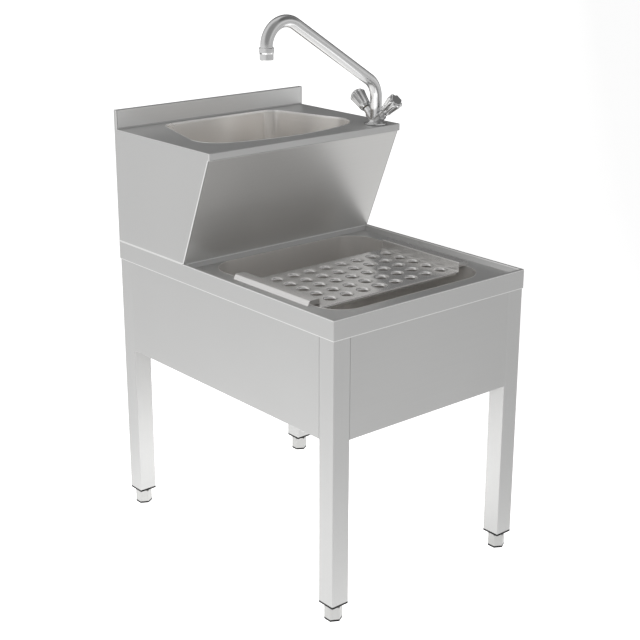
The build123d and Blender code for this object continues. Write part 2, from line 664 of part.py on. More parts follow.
def make_tap_clamp():
    """Horseshoe washer: its open side lets the two hoses through."""
    top_z = DECK_Z - SHEET
    low_z = top_z - CLAMP_THICKNESS
    slot_z = (low_z - OVERCUT, top_z + OVERCUT)
    slot = block(-CLAMP_SLOT_HALF, CLAMP_SLOT_HALF, -BASE_RADIUS - OVERCUT, CLAMP_SLOT_BACK, *slot_z)
    return at_tap(rod(BASE_RADIUS, low_z, top_z) - slot - rod(TAP_STUD_RADIUS, *slot_z, 0, TAP_STUD_Y))


def make_tap_backnut():
    top_z = DECK_Z - SHEET - CLAMP_THICKNESS
    low_z = top_z - BACKNUT_HEIGHT
    nut = Pos(0, TAP_STUD_Y, low_z) * extrude(hexagon(BACKNUT_ACROSS_FLATS), amount=BACKNUT_HEIGHT)
    return at_tap(nut - rod(TAP_STUD_RADIUS, low_z - OVERCUT, top_z + OVERCUT, 0, TAP_STUD_Y))


def make_headwork(side):
    sleeve = rod(SLEEVE_RADIUS, ARM_REACH, SLEEVE_REACH)
    sleeve = chamfer(sleeve.edges().filter_by(GeomType.CIRCLE), SLEEVE_BEVEL)
    sleeve = sleeve + rod(NOSE_RADIUS, NOSE_START, SLEEVE_REACH - OVERCUT)
    bore = rod(SPINDLE_RADIUS + RUNNING_GAP, SPINDLE_START - RUNNING_GAP, SLEEVE_REACH + OVERCUT)
    return valve_plane(side) * (sleeve - bore)


def make_spindle(side):
    return valve_plane(side) * rod(SPINDLE_RADIUS, SPINDLE_START, SPINDLE_END)


def make_knob(side):
    """A flared knob with flutes between its lobes, bored for its spindle."""
    knob = revolved([
        (0, KNOB_START), (KNOB_INNER_RADIUS, KNOB_START), (KNOB_OUTER_RADIUS, KNOB_END), (0, KNOB_END)])
    knob = fillet(knob.faces().sort_by(Axis.Z)[-1].edges(), KNOB_BRIM_RADIUS)
    knob = chamfer(knob.faces().sort_by(Axis.Z)[0].edges(), KNOB_BEVEL)
    length = KNOB_END - KNOB_START
    lean = math.degrees(math.atan2(KNOB_OUTER_RADIUS - KNOB_INNER_RADIUS, length))
    flute = rod(FLUTE_RADIUS, FLUTE_START, length + KNOB_BRIM_RADIUS)
    flute = flute + Pos(0, 0, FLUTE_START) * Sphere(FLUTE_RADIUS)
    flute = Pos(KNOB_INNER_RADIUS + FLUTE_OFFSET, 0, KNOB_START) * (Rot(0, lean, 0) * flute)
    for place in PolarLocations(0, KNOB_LOBES):
        knob = knob - place * flute
    return valve_plane(side) * (knob - rod(SPINDLE_RADIUS, KNOB_START - OVERCUT, SPINDLE_END))


def make_knob_cap(side):
    cap = rod(KNOB_CAP_RADIUS, KNOB_END, KNOB_END + KNOB_CAP_HEIGHT)
    return valve_plane(side) * chamfer(cap.faces().sort_by(Axis.Z)[-1].edges(), KNOB_CAP_BEVEL)


def spout_path():
    """Up from the body, along a rising diagonal to the left, and down to the aerator."""
    end_x = TAP_X - SPOUT_REACH
    crest_z = SPOUT_ELBOW_Z + SPOUT_REACH * math.tan(math.radians(SPOUT_RISE))
    points = [
        (TAP_X, COLUMN_TOP_Z), (TAP_X, SPOUT_ELBOW_Z), (end_x, crest_z),
        (end_x, AERATOR_Z + AERATOR_LENGTH / 2)]
    return Plane.XZ.offset(-TAP_Y) * FilletPolyline(*points, radius=SPOUT_BEND_RADIUS)


def spigot_grooves():
    """Where the two O-rings and the retaining screw sit, as (height, half width)."""
    foot_z = COLUMN_TOP_Z - SPIGOT_TUBE_LENGTH
    seats = [(foot_z + rise, O_RING_HALF_WIDTH) for rise in O_RING_RISES]
    return seats + [(SET_SCREW_Z, SET_SCREW_RADIUS + SET_SCREW_PLAY)]


def make_spout_tube():
    """The bent tube, with a turned spigot brazed into its foot."""
    start = Plane(origin=(TAP_X, TAP_Y, COLUMN_TOP_Z))
    foot_z = COLUMN_TOP_Z - SPIGOT_TUBE_LENGTH
    seat_height = COLUMN_TOP_Z + RUNNING_GAP
    shoulder_z = COLUMN_TOP_Z + SPIGOT_SHOULDER
    tube = pipe(spout_path(), start, SPOUT_RADIUS, SPOUT_WALL)
    tube = tube - at_tap(rod(SPOUT_RADIUS + OVERCUT, COLUMN_TOP_Z - OVERCUT, seat_height))
    spigot = rod(SPIGOT_TUBE_RADIUS, foot_z, shoulder_z)
    spigot = spigot + rod(SPOUT_RADIUS - SPOUT_WALL, seat_height, shoulder_z)
    spigot = spigot - rod(SPIGOT_TUBE_RADIUS - SPIGOT_TUBE_WALL, foot_z - OVERCUT, shoulder_z + OVERCUT)
    groove_floor = SPIGOT_TUBE_RADIUS - GROOVE_DEPTH
    for z, half in spigot_grooves():
        spigot = spigot - ring(SPIGOT_TUBE_RADIUS + OVERCUT, groove_floor, z - half, z + half)
    return tube + at_tap(spigot)


def make_spout_o_rings():
    groove_floor = SPIGOT_TUBE_RADIUS - GROOVE_DEPTH
    seats = spigot_grooves()[:len(O_RING_RISES)]
    return [at_tap(ring(SPIGOT_TUBE_RADIUS, groove_floor, z - half, z + half)) for z, half in seats]


def make_spout_screw():
    """Set screw in the back of the body: its tip runs in the spigot's groove and keeps the spout in."""
    tip_y = TAP_Y + SPIGOT_TUBE_RADIUS - GROOVE_DEPTH + SET_SCREW_PLAY
    head_y = TAP_Y + COLUMN_RADIUS - SET_SCREW_PLAY
    return rod_along_y(SET_SCREW_RADIUS, tip_y, head_y, TAP_X, SET_SCREW_Z)


def at_outlet(shape):
    return Pos(TAP_X - SPOUT_REACH, TAP_Y, 0) * shape


def make_aerator_shell():
    top_z = AERATOR_Z + AERATOR_LENGTH
    step_z = AERATOR_Z + AERATOR_STEP
    shell = revolved([
        (0, AERATOR_Z), (AERATOR_LOWER_RADIUS, AERATOR_Z), (AERATOR_LOWER_RADIUS, step_z),
        (AERATOR_RADIUS, step_z + AERATOR_TAPER), (AERATOR_RADIUS, top_z), (0, top_z)])
    for end in (0, -1):
        shell = chamfer(shell.faces().sort_by(Axis.Z)[end].edges(), AERATOR_BEVEL)
    shell = shell - rod(SPOUT_RADIUS, AERATOR_Z + AERATOR_LENGTH / 2, top_z + OVERCUT)
    return at_outlet(shell - rod(SPOUT_RADIUS - SPOUT_WALL, AERATOR_Z - OVERCUT, top_z))


def make_aerator_insert():
    """The disc of fine jets inside the aerator."""
    low_z = AERATOR_Z + JET_DISC_RISE
    high_z = low_z + JET_DISC_HEIGHT
    disc = ring(SPOUT_RADIUS - SPOUT_WALL, JET_CENTRE_RADIUS, low_z, high_z)
    for place in PolarLocations(JET_CIRCLE_RADIUS, JET_HOLES):
        disc = disc - place * rod(JET_HOLE_RADIUS, low_z - OVERCUT, high_z + OVERCUT)
    return at_outlet(disc)


def hose_points(side):
    x = TAP_X + HOSE_OFFSET * side
    bulge, bulge_y, bulge_z = HOSE_BULGE
    pull, pass_y, pass_z = HOSE_PASS
    return [
        (x, HOSE_START_Y, DECK_Z + TAP_SEAL), (x, TAP_Y, DECK_Z - HOSE_STRAIGHT), (x + bulge, bulge_y, bulge_z),
        (x + pull, pass_y, pass_z), (HOSE_TAIL_X + HOSE_TAIL_OFFSET * side, HOSE_TAIL_Y, HOSE_END_Z)]


def make_hose(side):
    points = hose_points(side)
    path = Spline(*points, tangents=((0, 0, -1), (0, 0, -1)))
    start = Plane(origin=points[0], z_dir=(0, 0, -1))
    return sweep(start * Circle(HOSE_RADIUS), path=path)


def make_hose_nuts():
    nuts = []
    for side in (-1, 1):
        x, y, z = hose_points(side)[-1]
        low_z = z - HOSE_NUT_HEIGHT
        nut = Pos(x, y, low_z) * extrude(hexagon(HOSE_NUT_ACROSS_FLATS), amount=HOSE_NUT_HEIGHT)
        nuts.append(nut - rod(INLET_RADIUS, low_z - OVERCUT, low_z + INLET_DEPTH, x, y))
    return nuts


# ---- waste ----
def seat_z(floor_z):
    """Underside of a bowl's waste recess."""
    return floor_z - RECESS_DEPTH - SHEET


def waste_flange_z(floor_z):
    """Underside of the waste body's flange."""
    return seat_z(floor_z) - WASTE_SEAL - WASTE_FLANGE


def waste_grid(floor_z, y):
    low_z = floor_z - RECESS_DEPTH
    high_z = low_z + GRID_THICKNESS
    grid = ring(GRID_RADIUS, WASTE_SCREW_RADIUS, low_z, high_z)
    for radius, count in GRID_CIRCLES:
        for place in PolarLocations(radius, count):
            grid = grid - place * rod(GRID_HOLE_RADIUS, low_z - OVERCUT, high_z + OVERCUT)
    return Pos(0, y, 0) * grid


def waste_seal(floor_z, y):
    top_z = seat_z(floor_z)
    return ring(WASTE_FLANGE_RADIUS - SEAL_INSET, WASTE_HOLE_RADIUS, top_z - WASTE_SEAL, top_z, 0, y)


def waste_body(floor_z, y, radius, end_z):
    """Flange, outlet tube and a bridge that takes the grid's screw."""
    flange_z = waste_flange_z(floor_z)
    top_z = flange_z + WASTE_FLANGE
    body = rod(WASTE_FLANGE_RADIUS, flange_z, top_z) + rod(radius, end_z, flange_z)
    body = body - rod(radius - PIPE_WALL, end_z - OVERCUT, top_z + OVERCUT)
    bridge_x = radius - PIPE_WALL / 2
    bridge_z = (flange_z - BRIDGE_DROP, flange_z + BRIDGE_RISE)
    bridge = block(-bridge_x, bridge_x, -BRIDGE_HALF_WIDTH, BRIDGE_HALF_WIDTH, *bridge_z)
    bridge = bridge - rod(WASTE_SCREW_RADIUS, flange_z - BRIDGE_DROP - OVERCUT, top_z)
    return Pos(0, y, 0) * (body + bridge)


def waste_screw(floor_z, y):
    head_z = floor_z - RECESS_DEPTH + GRID_THICKNESS
    head = rod(WASTE_SCREW_HEAD_RADIUS, head_z, head_z + WASTE_SCREW_HEAD, 0, y)
    return head + rod(WASTE_SCREW_RADIUS, waste_flange_z(floor_z) - BRIDGE_DROP, head_z, 0, y)


def make_bowl_waste_body():
    """The bowl's waste body ends in a dip tube and takes the basin's pipe in a side branch."""
    body = waste_body(BOWL_FLOOR_Z, BOWL_Y, PIPE_RADIUS, DIP_END_Z)
    seat_y = BOWL_Y + BRANCH_SEAT
    end_y = BOWL_Y + BRANCH_END
    socket = rod_along_y(PIPE_RADIUS + SOCKET_WALL, BOWL_Y, end_y, 0, BRANCH_Z)
    body = body + (socket - rod(PIPE_RADIUS, OUTLET_Z, WORKTOP_Z, 0, BOWL_Y))
    body = body - rod_along_y(PIPE_RADIUS, seat_y, end_y + OVERCUT, 0, BRANCH_Z)
    return body - rod_along_y(PIPE_RADIUS - PIPE_WALL, BOWL_Y, seat_y + OVERCUT, 0, BRANCH_Z)


def make_basin_waste_body():
    return waste_body(BASIN_FLOOR_Z, BASIN_WASTE_Y, PIPE_RADIUS - PIPE_WALL, BASIN_TAIL_Z)


def make_basin_downpipe():
    points = [(BASIN_WASTE_Y, DOWNPIPE_TOP_Z), (BASIN_WASTE_Y, BRANCH_Z), (BOWL_Y + BRANCH_SEAT, BRANCH_Z)]
    path = Plane.YZ * FilletPolyline(*points, radius=DOWNPIPE_BEND_RADIUS)
    start = Plane(origin=(0, BASIN_WASTE_Y, DOWNPIPE_TOP_Z), z_dir=(0, 0, -1))
    return pipe(path, start, PIPE_RADIUS, PIPE_WALL)


def make_waste_seals():
    return [waste_seal(BOWL_FLOOR_Z, BOWL_Y), waste_seal(BASIN_FLOOR_Z, BASIN_WASTE_Y)]


def make_waste_screws():
    return [waste_screw(BOWL_FLOOR_Z, BOWL_Y), waste_screw(BASIN_FLOOR_Z, BASIN_WASTE_Y)]


def make_trap_body():
    """The upper half of the bottle trap, with its outlet socket."""
    seat_y = BOWL_Y + OUTLET_SEAT
    end_y = BOWL_Y + OUTLET_SOCKET_END
    body = rod(TRAP_RADIUS, TRAP_BODY_END_Z, TRAP_TOP_Z, 0, BOWL_Y)
    body = body + rod_along_y(PIPE_RADIUS + SOCKET_WALL, BOWL_Y, end_y, 0, OUTLET_Z)
    body = body - rod(TRAP_RADIUS - CUP_WALL, TRAP_BODY_END_Z - OVERCUT, TRAP_TOP_Z - CUP_WALL, 0, BOWL_Y)
    body = body - rod(PIPE_RADIUS, TRAP_BODY_END_Z, TRAP_TOP_Z + OVERCUT, 0, BOWL_Y)
    body = body - rod_along_y(PIPE_RADIUS, seat_y, end_y + OVERCUT, 0, OUTLET_Z)
    return body - rod_along_y(PIPE_RADIUS - PIPE_WALL, BOWL_Y, seat_y + OVERCUT, 0, OUTLET_Z)


def make_trap_cup():
    cup = rod(TRAP_RADIUS + CUP_WALL, CUP_BOTTOM_Z, CUP_TOP_Z, 0, BOWL_Y)
    cup = chamfer(cup.faces().sort_by(Axis.Z)[0].edges(), CUP_CHAMFER)
    cup = cup - rod(TRAP_RADIUS, CUP_SHELF_Z, CUP_TOP_Z + OVERCUT, 0, BOWL_Y)
    cup = cup - rod(TRAP_RADIUS - CUP_WALL, CUP_BOTTOM_Z + CUP_WALL, CUP_TOP_Z, 0, BOWL_Y)
    notch_y = (BOWL_Y + CUP_NOTCH_START, BOWL_Y + CUP_NOTCH_END)
    return cup - rod_along_y(PIPE_RADIUS + SOCKET_WALL, *notch_y, 0, OUTLET_Z)


def make_outlet_pipe():
    """From the trap to the back, its free end marked off by a stop bead."""
    start_y = BOWL_Y + OUTLET_SEAT
    bead_y = OUTLET_END_Y - OUTLET_SPIGOT - STOP_BEAD_LENGTH
    wall = rod_along_y(PIPE_RADIUS, start_y, OUTLET_END_Y, 0, OUTLET_Z)
    wall = wall + rod_along_y(STOP_BEAD_RADIUS, bead_y, bead_y + STOP_BEAD_LENGTH, 0, OUTLET_Z)
    bore_y = (start_y - OVERCUT, OUTLET_END_Y + OVERCUT)
    return wall - rod_along_y(PIPE_RADIUS - PIPE_WALL, *bore_y, 0, OUTLET_Z)


# ---- write one file per node ----
def save(name, shape):
    if isinstance(shape, list):
        shape = Compound(children=shape)
    export_step(shape, f"parts/{name}.step")


def save_worktop_and_frame():
    save("lower_worktop", make_lower_worktop())
    save("utility_bowl", make_utility_bowl())
    for corner in CORNERS:
        save(f"leg_{corner}", make_leg(corner))
        save(f"foot_hex_{corner}", make_foot_hex(corner))
        save(f"foot_sole_{corner}", make_foot_sole(corner))
    save("apron_front", make_apron_front())
    save("apron_left", make_apron_side(-1))
    save("apron_right", make_apron_side(1))
    save("rear_brace", make_rear_brace())
    save("frame_screws", make_frame_screws())
    save("leg_inserts", make_leg_inserts())
    save("foot_studs", make_foot_studs())


def save_housing_and_grate():
    save("housing_side_left", make_housing_side(-1))
    save("housing_side_right", make_housing_side(1))
    save("splash_panel", make_splash_panel())
    save("hand_basin_top", make_hand_basin_top())
    save("hand_basin_bowl", make_hand_basin_bowl())
    save("housing_screws", make_housing_screws())
    save("grate", make_grate())


def save_tap_and_hoses():
    save("tap_body", make_tap_body())
    save("tap_seal", make_tap_seal())
    save("tap_stud", make_tap_stud())
    save("tap_clamp", make_tap_clamp())
    save("tap_backnut", make_tap_backnut())
    for name, side in (("front", -1), ("rear", 1)):
        save(f"headwork_{name}", make_headwork(side))
        save(f"spindle_{name}", make_spindle(side))
        save(f"knob_{name}", make_knob(side))
        save(f"knob_cap_{name}", make_knob_cap(side))
    save("spout_tube", make_spout_tube())
    save("spout_o_rings", make_spout_o_rings())
    save("spout_screw", make_spout_screw())
    save("aerator_shell", make_aerator_shell())
    save("aerator_insert", make_aerator_insert())
    save("hose_hot", make_hose(-1))
    save("hose_cold", make_hose(1))
    save("hose_nuts", make_hose_nuts())


def save_waste():
    save("bowl_waste_grid", waste_grid(BOWL_FLOOR_Z, BOWL_Y))
    save("bowl_waste_body", make_bowl_waste_body())
    save("basin_waste_grid", waste_grid(BASIN_FLOOR_Z, BASIN_WASTE_Y))
    save("basin_waste_body", make_basin_waste_body())
    save("basin_downpipe", make_basin_downpipe())
    save("waste_seals", make_waste_seals())
    save("waste_screws", make_waste_screws())
    save("trap_body", make_trap_body())
    save("trap_cup", make_trap_cup())
    save("outlet_pipe", make_outlet_pipe())


os.makedirs("parts", exist_ok=True)
save_worktop_and_frame()
save_housing_and_grate()
save_tap_and_hoses()
save_waste()
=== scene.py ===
"""Looks of the sink combination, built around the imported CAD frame. Metres, row frame."""
import json
import math
import bmesh
import bpy
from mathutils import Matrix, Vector


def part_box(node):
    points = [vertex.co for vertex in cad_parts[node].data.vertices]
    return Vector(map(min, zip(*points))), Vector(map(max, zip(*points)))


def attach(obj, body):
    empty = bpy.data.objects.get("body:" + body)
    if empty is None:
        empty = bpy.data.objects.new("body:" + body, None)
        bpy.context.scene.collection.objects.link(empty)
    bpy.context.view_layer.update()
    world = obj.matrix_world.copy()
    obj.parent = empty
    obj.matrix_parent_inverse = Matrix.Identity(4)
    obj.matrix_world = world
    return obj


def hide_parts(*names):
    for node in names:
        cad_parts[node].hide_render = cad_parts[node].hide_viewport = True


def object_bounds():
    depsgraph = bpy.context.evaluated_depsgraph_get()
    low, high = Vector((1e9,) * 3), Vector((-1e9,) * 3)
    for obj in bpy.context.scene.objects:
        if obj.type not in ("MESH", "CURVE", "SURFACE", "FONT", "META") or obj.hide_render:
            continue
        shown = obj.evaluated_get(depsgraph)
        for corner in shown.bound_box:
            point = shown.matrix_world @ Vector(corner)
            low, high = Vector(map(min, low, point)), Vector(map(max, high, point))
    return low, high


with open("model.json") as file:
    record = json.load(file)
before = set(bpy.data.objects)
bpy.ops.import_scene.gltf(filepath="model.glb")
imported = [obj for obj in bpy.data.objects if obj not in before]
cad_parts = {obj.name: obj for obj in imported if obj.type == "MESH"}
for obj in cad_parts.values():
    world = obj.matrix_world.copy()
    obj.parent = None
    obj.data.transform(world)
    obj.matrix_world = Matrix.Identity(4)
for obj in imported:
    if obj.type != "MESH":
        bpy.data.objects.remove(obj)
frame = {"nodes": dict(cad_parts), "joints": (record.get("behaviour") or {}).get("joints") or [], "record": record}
CAD_LOW, CAD_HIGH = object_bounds()
CENTRE = (CAD_LOW + CAD_HIGH) / 2
NODES = frame["nodes"]

# camera: the three-quarter view from the front left, slightly above
VIEW_AZIMUTH = -39.96          # degrees from straight behind the user
VIEW_ELEVATION = 18.07
VIEW_DISTANCE = 2.75
AIM_OFFSET = Vector((-0.034, -0.031, -0.032))   # from the middle of the CAD box
LENS = 75.55                   # millimetres
LENS_SHIFT = (0.0136, -0.0236)

# studio: an even sky with soft dark patches that give the steel its tones
SKY_LEVEL = 1.03
SKY_PATCHES = (                # direction, cosines where the patch is full and has faded, light left
    ((0.66, 0.72, 0.20), 0.90, 0.50, 0.18),      # low at the back right, mirrored in level faces
    ((-0.42, -0.70, 0.55), 0.88, 0.45, 0.42),    # above the camera, mirrored in faces turned to it
    ((0.61, -0.36, 0.69), 0.95, 0.80, 0.24),     # high at the right, mirrored in the tray's back slope
)
KEY_OFFSET = Vector((-1.9, -2.3, 1.5))           # from the middle of the CAD box
KEY_SIZE = (1.3, 1.3)
KEY_WATTS = 28
REFLECTOR_OFFSET = Vector((-0.07, -0.21, 0.03))  # from the middle of the basin's mouth
REFLECTOR_SIZE = (0.50, 0.30)
REFLECTOR_WATTS = 0.37

# floor: pale and slightly glowing, so that the upright faces mirror a bright floor
FLOOR_HALF_SIDE = 20.0
FLOOR_ALBEDO = 0.60
FLOOR_ROUGHNESS = 0.9
MOTTLE_SCALE = 2.0
MOTTLE_CHANGE = 0.01
FLOOR_GLOW = 0.53
FLOOR_WHITE = 0.35             # added for the camera alone, so that the floor reads white
NEAR_GLOW = 1.25               # extra glow round the object
NEAR_REACH = 0.5               # distance over which the extra glow falls to a third
BRIGHT_SIDE = (-0.64, 0.77, 0.0)                 # the side that the object's left faces mirror
BRIGHT_SPAN = (-0.8, 0.5)      # metres towards that side over which the glow rises
BRIGHT_GAIN = (0.62, 1.10)     # glow before and after the rise

MERGE_DISTANCE = 1.0e-6


# ---- shader helpers ----
class Shader:
    """A material's node tree with short calls for the nodes used here."""

    def __init__(self, name):
        self.material = bpy.data.materials.new(name)
        self.material.use_nodes = True
        self.tree = self.material.node_tree
        self.tree.nodes.clear()
        self.surface = self.node("ShaderNodeBsdfPrincipled")
        output = self.node("ShaderNodeOutputMaterial")
        self.link(self.surface.outputs["BSDF"], output.inputs["Surface"])
        self.place = self.node("ShaderNodeTexCoord").outputs["Object"]

    def node(self, kind, **settings):
        made = self.tree.nodes.new(kind)
        for key, value in settings.items():
            setattr(made, key, value)
        return made

    def link(self, source, target):
        self.tree.links.new(source, target)

    def put(self, target, value):
        """Feeds an input with a number, a colour or another node's output."""
        if hasattr(value, "is_linked"):
            self.link(value, target)
        else:
            target.default_value = value

    def noise(self, scale, stretch=(1, 1, 1), detail=3.0):
        """Noise in the range 0..1; scale is features per metre, stretched per axis."""
        mapping = self.node("ShaderNodeMapping")
        self.link(self.place, mapping.inputs["Vector"])
        mapping.inputs["Scale"].default_value = stretch
        texture = self.node("ShaderNodeTexNoise")
        texture.inputs["Scale"].default_value = scale
        texture.inputs["Detail"].default_value = detail
        self.link(mapping.outputs["Vector"], texture.inputs["Vector"])
        return texture.outputs["Fac"]

    def remap(self, value, from_low, from_high, low, high):
        """Maps from_low..from_high to low..high and holds the ends."""
        made = self.node("ShaderNodeMapRange")
        made.inputs["From Min"].default_value = from_low
        made.inputs["From Max"].default_value = from_high
        made.inputs["To Min"].default_value = low
        made.inputs["To Max"].default_value = high
        self.link(value, made.inputs["Value"])
        return made.outputs["Result"]

    def spread(self, value, low, high):
        """Maps noise's usual 0.3..0.7 to low..high."""
        return self.remap(value, 0.3, 0.7, low, high)

    def math(self, operation, a, b):
        """One arithmetic step on two numbers or sockets."""
        made = self.node("ShaderNodeMath", operation=operation)
        self.put(made.inputs[0], a)
        self.put(made.inputs[1], b)
        return made.outputs["Value"]

    def shade(self, colour, factor):
        """The colour, made lighter or darker by a factor."""
        made = self.node("ShaderNodeVectorMath", operation="SCALE")
        made.inputs[0].default_value = colour
        self.put(made.inputs["Scale"], factor)
        return made.outputs["Vector"]

    def level_bands(self, bands):
        """1 between the heights of each (low, high) band, 0 elsewhere."""
        height = self.node("ShaderNodeSeparateXYZ")
        self.link(self.place, height.inputs["Vector"])
        mask = 0.0
        for low, high in bands:
            above = self.math("GREATER_THAN", height.outputs["Z"], low)
            below = self.math("LESS_THAN", height.outputs["Z"], high)
            mask = self.math("ADD", mask, self.math("MULTIPLY", above, below))
        return mask

    def rounded_edges(self):
        """1 on the folded edges, whose surface faces between the axes, 0 on the panels."""
        geometry = self.node("ShaderNodeNewGeometry")
        facing = self.node("ShaderNodeVectorMath", operation="ABSOLUTE")
        self.link(geometry.outputs["Normal"], facing.inputs[0])
        parts = self.node("ShaderNodeSeparateXYZ")
        self.link(facing.outputs["Vector"], parts.inputs["Vector"])
        most = self.math("MAXIMUM", parts.outputs["X"], parts.outputs["Y"])
        most = self.math("MAXIMUM", most, parts.outputs["Z"])
        return self.remap(most, *FOLD_COSINES, 0.0, 1.0)

    def bump(self, height, depth):
        """Bump of a real depth in metres."""
        made = self.node("ShaderNodeBump")
        made.inputs["Strength"].default_value = 1.0
        made.inputs["Distance"].default_value = depth
        self.link(height, made.inputs["Height"])
        self.link(made.outputs["Normal"], self.surface.inputs["Normal"])


SATIN = 0.70                   # share of mirror-like reflection in a satin finish
GRAIN_SCALE = 1500.0
GRAIN_STRETCH = {"x": (0.004, 1, 1), "z": (1, 1, 0.004)}
GRAIN_DEPTH = 0.7e-7
CLOUD_SCALE = 4.0
TONE_CHANGE = 0.015            # how far grain and clouds change the colour
SHEEN_CHANGE = (0.015, 0.01)   # how far grain and clouds change the roughness
PAINTED_HIGHLIGHT_GAIN = 1.45             # how much brighter a painted highlight makes an edge's or strip's base colour than its panel
FOLD_COSINES = (0.91, 0.85)    # a normal's largest part where an edge's painted highlight starts and is full


def brushed_metal(name, colour, roughness, grain, solid=1.0, rounded=False, bands=()):
    """Metal with a very fine directional grain and faint clouding.

    solid below 1 adds the matt part of a satin finish. rounded paints a highlight into the colour of the
    folded edges, and bands paints highlight strips between two heights.
    """
    shader = Shader(name)
    surface = shader.surface
    lines = shader.noise(GRAIN_SCALE, GRAIN_STRETCH[grain], detail=2.0)
    clouds = shader.noise(CLOUD_SCALE, detail=1.0)
    tone_range = (1 - TONE_CHANGE, 1 + TONE_CHANGE)
    tone = shader.math("MULTIPLY", shader.spread(clouds, *tone_range), shader.spread(lines, *tone_range))
    by_lines, by_clouds = SHEEN_CHANGE
    fine = shader.spread(lines, -by_lines, by_lines)
    broad = shader.spread(clouds, -by_clouds, by_clouds)
    uneven = shader.math("ADD", fine, broad)
    # painted highlight: the base colour is lightened in the bands and on the rounded edges, standing in for their
    # glints
    painted_highlight = shader.level_bands(bands)
    if rounded:
        painted_highlight = shader.math("MAXIMUM", painted_highlight, shader.rounded_edges())
    if rounded or bands:
        tone = shader.math("MULTIPLY", tone, shader.remap(painted_highlight, 0.0, 1.0, 1.0, PAINTED_HIGHLIGHT_GAIN))
    shader.put(surface.inputs["Base Color"], shader.shade(colour, tone))
    shader.put(surface.inputs["Roughness"], shader.math("ADD", uneven, roughness))
    surface.inputs["Metallic"].default_value = solid
    shader.bump(lines, GRAIN_DEPTH)
    return shader.material


PEBBLE_SCALE = 900.0
PEBBLE_DEPTH = 1.0e-5
PLASTIC_CLOUD_SCALE = 30.0
PLASTIC_TONE_CHANGE = 0.06
PLASTIC_SHEEN_CHANGE = 0.05


def plastic(name, colour, roughness, sheen=0.5):
    """Moulded plastic or rubber with a fine pebble and a slightly uneven sheen."""
    shader = Shader(name)
    surface = shader.surface
    pebble = shader.noise(PEBBLE_SCALE, detail=4.0)
    clouds = shader.noise(PLASTIC_CLOUD_SCALE, detail=2.0)
    tone = shader.spread(clouds, 1 - PLASTIC_TONE_CHANGE, 1 + PLASTIC_TONE_CHANGE)
    uneven = shader.spread(clouds, -PLASTIC_SHEEN_CHANGE, PLASTIC_SHEEN_CHANGE)
    shader.put(surface.inputs["Base Color"], shader.shade(colour, tone))
    shader.put(surface.inputs["Roughness"], shader.math("ADD", uneven, roughness))
    surface.inputs["Metallic"].default_value = 0.0
    surface.inputs["Specular IOR Level"].default_value = sheen
    shader.bump(pebble, PEBBLE_DEPTH)
    return shader.material


SHEET = ((0.565, 0.565, 0.56), 0.40, "x", SATIN)   # colour, roughness, grain and satin share
MATERIALS = {
    "sheet_steel": brushed_metal("sheet_steel_look", *SHEET),
    "bowl_steel": brushed_metal("bowl_steel_look", (0.82, 0.80, 0.775), 0.31, "x", SATIN),
    "leg_steel": brushed_metal("leg_steel_look", (0.57, 0.57, 0.565), 0.38, "z", SATIN),
    "grate_steel": brushed_metal("grate_steel_look", (0.80, 0.79, 0.78), 0.20, "x", 0.82),
    "grid_steel": brushed_metal("grid_steel_look", (0.64, 0.64, 0.64), 0.18, "x"),
    "foot_aluminium": brushed_metal("foot_aluminium_look", (0.53, 0.53, 0.52), 0.32, "z", SATIN),
    "zinc_steel": brushed_metal("zinc_steel_look", (0.60, 0.61, 0.62), 0.35, "z"),
    "tap_chrome": brushed_metal("tap_chrome_look", (0.68, 0.68, 0.68), 0.19, "z"),
    "sleeve_chrome": brushed_metal("sleeve_chrome_look", (0.85, 0.85, 0.85), 0.10, "z"),
    "brass": brushed_metal("brass_look", (0.72, 0.58, 0.33), 0.30, "z"),
    "hose_braid": brushed_metal("hose_braid_look", (0.60, 0.60, 0.60), 0.32, "z"),
    "black_plastic": plastic("black_plastic_look", (0.014, 0.014, 0.014), 0.55, 0.15),
    "grey_plastic": plastic("grey_plastic_look", (0.45, 0.45, 0.45), 0.40),
    "white_plastic": plastic("white_plastic_look", (0.78, 0.78, 0.76), 0.38),
    "seal_rubber": plastic("seal_rubber_look", (0.03, 0.03, 0.03), 0.60),
}


EDGE_BAND = 0.002              # height of a painted highlight strip along a seam or hem
BORDER_LIP = 0.0003            # the very top of the worktop's border gets no painted highlight
UPSTAND_BAND = (0.037, 0.001)  # depth below the upstand's top where the painted light on its face starts and ends
MOUTH_BAND = (0.004, 0.001)    # reach below and above the deck of the painted highlight on the basin's rolled mouth


